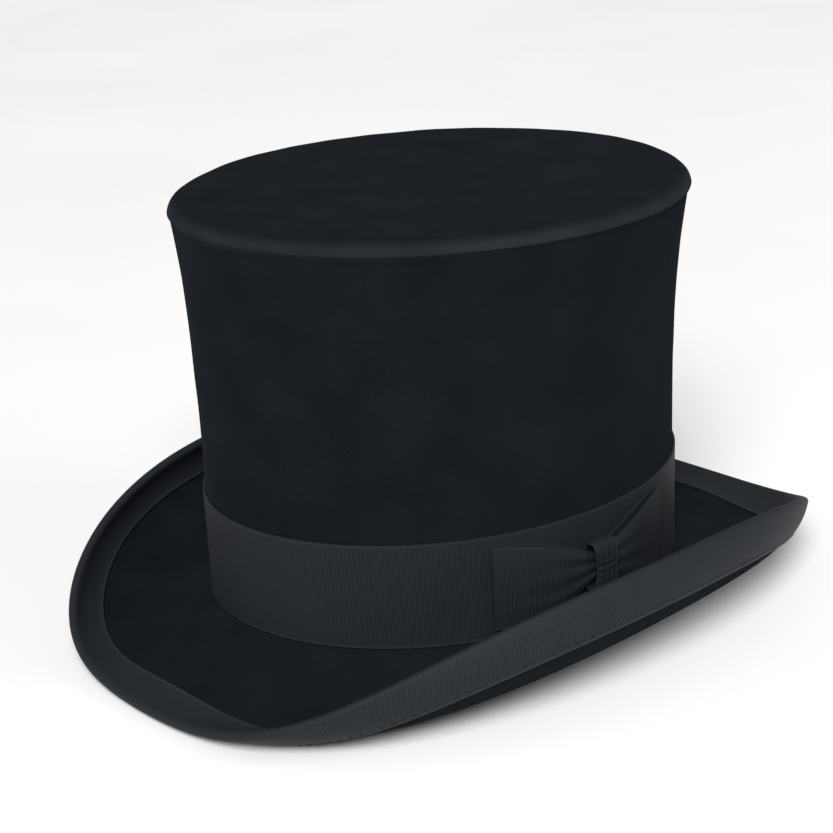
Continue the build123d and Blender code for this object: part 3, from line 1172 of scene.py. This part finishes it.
@dataclass
class Bow:
    """Flat bow: two pinched ribbon loops and a knot, lying against an offset from the oval."""

    oval: HeadOval
    names: tuple[str, str, str] = ("bow_front", "bow_back", "bow_middle")
    angle: float = radians(-1.0)
    inside: float = 1.2
    side: Side = Side.OUT
    up: float = 21.9
    knot_width: float = 12.0
    knot_height: float = 21.0
    knot_thickness: float = 8.0
    pinch_height: float = 11.0
    end_height: float = 34.0
    pinch_thickness: float = 5.0
    puff: float = 1.5
    end_thickness: float = 3.0
    ribbon: float = 0.5
    pleat: float = 0.9
    pleat_fade: float = 1.5
    under_knot: float = 3.0
    fold_share: float = 0.06
    fold_bulge: float = 0.9
    dome: float = 0.35
    dome_at_pinch: float = 0.4
    wing_faces: tuple[int, int] = (88, 28)
    knot_squareness: float = 0.55
    knot_bulge: float = 0.12
    knot_pleat: float = 0.25
    knot_waist: float = 0.1
    knot_taper: float = 0.05
    knot_faces: tuple[int, int] = (72, 20)

    def loop_surface(self, length: float, wing: Wing) -> Surface:
        """Surface of one wing: out along the back layer, round the end fold, and back in front."""
        reach = length + self.under_knot
        layer = 0.5 - self.fold_share

        def surface(along: float, across: float) -> Vector:
            """Place on the middle of the wing's ribbon."""
            if along < layer:
                share, front = along / layer, 0.0
            elif along > 0.5 + self.fold_share:
                share, front = (1 - along) / layer, 1.0
            else:
                share, front = 1.0, (along - 0.5 + self.fold_share) / (2 * self.fold_share)
            height = fan_out(self.pinch_height, self.end_height, share)
            wide = 2 * across - 1
            flat = ease(self.pinch_thickness, self.end_thickness, share) + self.puff * sin(pi * share)
            room = flat - self.ribbon
            depth = room * (1 - cos(pi * front)) / 2
            bulge = room / 2 * sin(pi * front) * self.fold_bulge
            fade = (1 - share) ** self.pleat_fade
            pleats = self.pleat * fade * (cos(3 * pi * wide) - 1) / 2
            depth += pleats * front
            rounding = self.dome_at_pinch + (1 - self.dome_at_pinch) * share
            curve = wide**2 * self.dome * room * front * rounding
            distance = self.knot_width / 2 - self.under_knot + share * reach + bulge
            angle = self.oval.walk(self.angle, wing.value * distance)
            out = self.inside + self.side.value * (self.ribbon / 2 + max(0.0, depth - curve))
            return self.oval.spot(angle, out, self.up + wide * height / 2)

        return surface

    def build_wing(self, length: float, wing: Wing, name: str) -> bpy.types.Object:
        """Make one wing of ribbon."""
        surface = self.loop_surface(length, wing)
        return cloth(name, *self.wing_faces, surface, self.ribbon, closed=False)

    def knot_surface(self, along: float, across: float) -> Vector:
        """Surface of the knot: once round the pinched middle, with soft lengthwise pleats."""
        turn = 2 * pi * along + pi
        deep = copysign(abs(cos(turn)) ** self.knot_squareness, cos(turn))
        high = copysign(abs(sin(turn)) ** self.knot_squareness, sin(turn))
        wide = 2 * across - 1
        bulge = 1 - self.knot_bulge * wide**2
        pleat = self.knot_pleat * cos(4 * pi * wide) * max(0.0, deep)
        half = self.knot_thickness / 2 - self.ribbon / 2
        depth = self.knot_thickness / 2 + (half * deep + pleat) * bulge
        waist = 1 - self.knot_waist * max(0.0, deep) * (1 - abs(high))
        angle = self.oval.walk(self.angle, wide * waist * (self.knot_width - self.ribbon) / 2)
        rise = (self.knot_height / 2 - self.ribbon / 2) * high * (1 - self.knot_taper * wide**2)
        return self.oval.spot(angle, self.inside + self.side.value * depth, self.up + rise)

    def build_knot(self) -> bpy.types.Object:
        """Make the turn of ribbon round the bow's middle."""
        return cloth(self.names[2], *self.knot_faces, self.knot_surface, self.ribbon)


@dataclass
class SideBow(Bow):
    """The bow over the band on the wearer's left."""

    front_length: float = 40.0
    back_length: float = 36.0
    selvage: float = 0.7
    rounded_girth: float = 0.92

    def dress(self) -> None:
        """Build the bow and hand it to the frame."""
        for length, wing, name, node in (
            (self.front_length, Wing.FRONT, self.names[0], "bow_front_wing"),
            (self.back_length, Wing.BACK, self.names[1], "bow_back_wing"),
        ):
            piece = self.build_wing(length, wing, name)
            flat = 2 * (length + self.under_knot) + self.end_thickness
            ribbon = Grosgrain(f"{name}_grosgrain", flat, self.end_height, selvage=self.selvage)
            dress(piece, ribbon.build(), "band_ribbon", node)
        knot = self.build_knot()
        flat = 2 * (self.knot_height + self.knot_thickness) * self.rounded_girth
        name = f"{self.names[2]}_grosgrain"
        ribbon = Grosgrain(name, flat, self.knot_width, selvage=self.selvage)
        dress(knot, ribbon.build(), "band_ribbon", "bow_knot")


@dataclass
class BackBow(Bow):
    """The small bow on the sweatband's seam, made as one piece."""

    names: tuple[str, str, str] = ("seam_bow_left", "seam_bow_right", "seam_bow_knot")
    angle: float = pi / 2
    inside: float = -5.65
    side: Side = Side.IN
    up: float = 29.0
    knot_width: float = 4.0
    knot_height: float = 5.5
    knot_thickness: float = 2.4
    pinch_height: float = 4.0
    end_height: float = 9.0
    pinch_thickness: float = 1.9
    puff: float = 0.3
    end_thickness: float = 1.4
    ribbon: float = 0.3
    pleat: float = 0.2
    under_knot: float = 1.0
    wing_length: float = 9.0

    def dress(self) -> None:
        """Build the small bow and hand it to the frame."""
        parts = [
            self.build_wing(self.wing_length, Wing.FRONT, self.names[0]),
            self.build_wing(self.wing_length, Wing.BACK, self.names[1]),
            self.build_knot(),
        ]
        bow = join(parts, "seam_bow")
        flat = 4 * (self.wing_length + self.under_knot)
        satin = Satin("seam_bow_satin", flat, self.end_height)
        dress(bow, satin.build(), "satin_ribbon", "sweatband_back_bow")


@dataclass
class Sweatband:
    """Leather band inside the opening, with its reed, its stitches and a blank label."""

    oval: HeadOval
    outside: float = -4.5
    leather: float = 1.0
    foot: float = 0.2
    height: float = 38.0
    roll: float = 0.5
    roll_start: float = 0.45
    wave: float = 0.35
    wave_pace: float = 3.0
    edge_share: float = 0.3
    leather_faces: tuple[int, int] = (360, 20)
    reed_radius: float = 0.9
    reed_faces: tuple[int, int] = (240, 12)
    reed_crease: float = 60.0
    gap: float = 0.15
    stitch_inset: float = 2.0
    stitch_length: float = 3.0
    stitch_slant: float = 0.12
    thread: float = 0.45
    thread_rise: float = 0.3
    stitches: int = 102
    tag_angle: float = radians(68.0)
    tag_length: float = 22.0
    tag_height: float = 14.0
    tag_tape: float = 0.4
    tag_curl: float = 0.25
    tag_faces: tuple[int, int] = (24, 12)

    def build_leather(self) -> bpy.types.Object:
        """Stand the leather up inside the collar, its top edge rolled slightly outwards."""
        middle = self.outside - self.leather / 2

        def surface(along: float, across: float) -> Vector:
            """Place on the middle of the leather."""
            angle = 2 * pi * along
            free = ease(0.0, 1.0, (across - self.roll_start) / (1 - self.roll_start))
            out = middle + free * (self.roll + self.wave * ripple(angle, self.wave_pace, across))
            return self.oval.spot(angle, out, self.foot + (self.height - self.foot) * across)

        band = grid("leather_sweatband", *self.leather_faces, surface)
        weld(band)
        thicken(band, self.leather)
        edge = band.modifiers.new("edge", "BEVEL")
        edge.width = self.leather * self.edge_share * MM
        edge.segments = 2
        edge.limit_method = "ANGLE"
        bpy.ops.object.modifier_apply(modifier=edge.name)
        soften(band)
        return band

    def build_reed(self) -> bpy.types.Object:
        """Run the thin cord round under the leather."""
        middle = self.outside - self.leather / 2
        up = self.foot - self.gap - self.reed_radius

        def surface(along: float, across: float) -> Vector:
            """Place on the cord's round outside."""
            turn = 2 * pi * across
            out = middle + self.reed_radius * cos(turn)
            return self.oval.spot(2 * pi * along, out, up + self.reed_radius * sin(turn))

        reed = grid("sweatband_cord", *self.reed_faces, surface)
        weld(reed, outside=True)
        soften(reed, self.reed_crease)
        return reed

    def build_stitches(self) -> bpy.types.Object:
        """Sew the leather down just above its foot."""
        out = self.outside - self.leather - self.thread * self.thread_rise
        places = []
        for angle in self.oval.even_angles(self.stitches):
            x, y = self.oval.outward(angle)
            spot = self.oval.spot(angle, out, self.foot + self.stitch_inset)
            ahead = Vector((-y, x, self.stitch_slant))
            places.append(seat(spot, ahead, Vector((-x, -y, 0.0))))
        return row_of("sweatband_thread", self.stitch_length, self.thread, places)

    def build_tag(self) -> bpy.types.Object:
        """Lay the blank label on the leather."""
        out = self.outside - self.leather - self.gap - self.tag_tape / 2
        low = (self.height - self.tag_height) / 2

        def surface(along: float, across: float) -> Vector:
            """Place on the middle of the tape."""
            angle = self.oval.walk(self.tag_angle, (0.5 - along) * self.tag_length)
            curl = self.tag_curl * abs(2 * along - 1) ** 4
            return self.oval.spot(angle, out - curl, low + self.tag_height * across)

        return cloth("woven_tag", *self.tag_faces, surface, self.tag_tape, closed=False)

    def dress(self, thread: bpy.types.Material) -> None:
        """Build the sweatband's pieces and hand them to the frame."""
        dress(self.build_leather(), Leather().build(), "leather", "sweatband")
        dress(self.build_reed(), Reed().build(), "reed", "sweatband_reed")
        dress(self.build_stitches(), thread, "thread", "sweatband_stitches")
        tag = self.build_tag()
        dress(tag, Label().build(), "label", "size_tag")


@dataclass
class Lining:
    """Satin lining: an upright wall with a few soft creases, and an oval tip."""

    oval: HeadOval
    shape: CrownShape
    out: float = -2.15
    satin: float = 0.5
    foot: float = 14.0
    top: float = 156.5
    gap: float = 0.15
    ease_in: float = 2.0
    crease: float = 0.9
    crease_pace: float = 7.0
    crease_along: float = 1.3
    crease_lift: float = 0.1
    side_faces: tuple[int, int] = (300, 48)
    sag: float = 1.5
    tip_ripple: float = 0.3
    tip_pace: float = 9.0
    tip_faces: tuple[int, int] = (160, 24)

    def build_side(self) -> bpy.types.Object:
        """Hang the wall of the lining inside the crown."""
        middle = self.out - self.satin / 2

        def surface(along: float, across: float) -> Vector:
            """Place on the middle of the lining's wall."""
            turn = 2 * pi * along
            up = self.foot + (self.top - self.foot) * across
            rise = ripple(turn, self.crease_pace, across * self.crease_along) + self.crease_lift
            fold = max(0.0, rise) * sin(pi * across)
            return self.shape.spot(self.oval, turn, middle - self.crease * fold, up)

        return cloth("lining_wall", *self.side_faces, surface, self.satin)

    def build_tip(self) -> bpy.types.Object:
        """Stretch the oval tip across the top, sagging a little in the middle."""
        up = self.top + self.gap + self.satin / 2

        def surface(along: float, across: float) -> Vector:
            """Place on the middle of the lining's tip."""
            turn = 2 * pi * along
            edge = self.shape.spot(self.oval, turn, self.out, up)
            centre = Vector((0.0, self.oval.centre_y, edge.z))
            place = centre.lerp(edge, across)
            gather = self.tip_ripple * across**4 * abs(ripple(turn, self.tip_pace, 1.0))
            place.z -= (self.sag * (1 - across**2) + gather) * MM
            return place

        return cloth("lining_top", *self.tip_faces, surface, self.satin)

    def dress(self) -> None:
        """Build the lining and hand it to the frame."""
        half_x, half_y = self.shape.half_axes(self.oval, self.out, self.top)
        length = self.oval.girth(self.out + self.ease_in)
        height = self.top - self.foot
        side = self.build_side()
        satin = Satin("lining_wall_satin", length, height)
        dress(side, satin.build(), "satin", "lining_side")
        tip = self.build_tip()
        satin = Satin("lining_tip_satin", 2 * half_y, 2 * half_x, level=True)
        dress(tip, satin.build(), "satin", "lining_tip")


# ---- Studio ---------------------------------------------------------------------------------------


def towards(azimuth: float, elevation: float) -> Vector:
    """Direction from the hat at an azimuth and an elevation in degrees."""
    turn, above = radians(azimuth), radians(elevation)
    return Vector((sin(turn) * cos(above), -cos(turn) * cos(above), sin(above)))


def hang(kind: str, name: str, back: Vector, aim: Vector, distance: float) -> bpy.types.Object:
    """Hang a light and turn it to the hat.

    Args:
        kind: Blender's kind of light.
        name: Name of the light.
        back: Direction from the hat to the light.
        aim: Place that it points at.
        distance: Distance from that place, in metres.

    Returns:
        The new light.
    """
    bpy.ops.object.light_add(type=kind, location=aim + back * distance)
    light = bpy.context.object
    light.name = name
    light.rotation_euler = back.to_track_quat("Z", "Y").to_euler()
    return light


@dataclass(frozen=True)
class Softbox:
    """Square soft light that points at the hat."""

    name: str
    azimuth: float
    elevation: float
    distance: float
    size: float
    power: float

    def build(self, aim: Vector) -> None:
        """Hang the light and turn it to the hat."""
        back = towards(self.azimuth, self.elevation)
        light = hang("AREA", self.name, back, aim, self.distance)
        light.data.size = self.size
        light.data.energy = self.power


@dataclass(frozen=True)
class WideKey:
    """Broad even light from one direction, for soft shadows and a floor without fall-off."""

    azimuth: float = 46.0
    elevation: float = 42.0
    distance: float = 3.0
    spread: float = 30.0
    strength: float = 3.1

    def build(self) -> None:
        """Hang the light."""
        back = towards(self.azimuth, self.elevation)
        light = hang("SUN", "wide_key", back, Vector(), self.distance)
        light.data.angle = radians(self.spread)
        light.data.energy = self.strength


@dataclass(frozen=True)
class Studio:
    """Pale floor, soft lights and the camera."""

    oval: HeadOval
    azimuth: float = 49.6
    elevation: float = 19.19
    roll: float = -2.635
    distance: float = 0.8419
    aim_height: float = 80.0
    aim_right: float = -9.36
    aim_up: float = -18.24
    focal_share: float = 2.4093
    sensor: float = 36.0
    nearest: float = 0.01
    floor_size: float = 12.0
    floor_faces: int = 8
    room_light: float = 0.32
    lights: tuple[Softbox, ...] = (
        Softbox("front_softbox", 40.0, 30.0, 1.8, 0.5, 9.0),
        Softbox("rim_softbox", 125.0, 28.0, 1.6, 0.4, 4.0),
    )

    def build_camera(self) -> None:
        """Place the camera at the viewing angle, with its lens and roll."""
        turn, lean = radians(self.azimuth), radians(self.roll)
        back = towards(self.azimuth, self.elevation)
        level = Vector((cos(turn), sin(turn), 0.0))
        upright = back.cross(level)
        right = cos(lean) * level + sin(lean) * upright
        up = -sin(lean) * level + cos(lean) * upright
        aim = Vector((0.0, self.oval.centre_y, self.oval.root_z + self.aim_height * MM))
        place = aim + back * self.distance + right * self.aim_right * MM + up * self.aim_up * MM
        bpy.ops.object.camera_add(location=place)
        camera = bpy.context.object
        camera.rotation_euler = Matrix((right, up, back)).transposed().to_euler()
        camera.data.sensor_width = self.sensor
        camera.data.lens = self.focal_share * self.sensor
        camera.data.clip_start = self.nearest
        bpy.context.scene.camera = camera

    def build_floor(self) -> None:
        """Lay the floor that the brim stands on."""
        clear_selection()
        faces = self.floor_faces
        bpy.ops.mesh.primitive_grid_add(x_subdivisions=faces, y_subdivisions=faces, size=self.floor_size)
        floor = bpy.context.object
        floor.name = "floor"
        floor.data.materials.append(PaleFloor().build())

    def build_world(self) -> None:
        """Fill the room with even white light."""
        world = bpy.data.worlds.new("white_room")
        world.use_nodes = True
        sky = world.node_tree.nodes["Background"]
        sky.inputs["Color"].default_value = (1.0, 1.0, 1.0, 1.0)
        sky.inputs["Strength"].default_value = self.room_light
        bpy.context.scene.world = world
        bpy.context.scene.view_settings.view_transform = "Standard"

    def build(self) -> None:
        """Set up the whole studio."""
        self.build_floor()
        self.build_world()
        aim = Vector((0.0, 0.0, self.oval.root_z + self.aim_height * MM))
        WideKey().build()
        for light in self.lights:
            light.build(aim)
        self.build_camera()


def main() -> None:
    """Build the hat on its frame, then the studio."""
    logging.basicConfig(level=logging.INFO, format="%(message)s")
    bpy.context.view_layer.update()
    crown_shape = CrownShape()
    low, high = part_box("crown_felt")
    root_z = high[2] - crown_shape.height * MM
    oval = HeadOval(centre_y=(low[1] + high[1]) / 2, root_z=root_z)
    felt = Felt(root_z).build()
    thread = Thread().build()
    Crown(oval, crown_shape).dress(felt)
    Brim(oval, BrimShape(oval)).dress(felt, thread)
    Band(oval).dress()
    SideBow(oval).dress()
    Sweatband(oval).dress(thread)
    BackBow(oval).dress()
    Lining(oval, crown_shape).dress()
    Studio(oval).build()


if __name__ == "__main__":
    main()
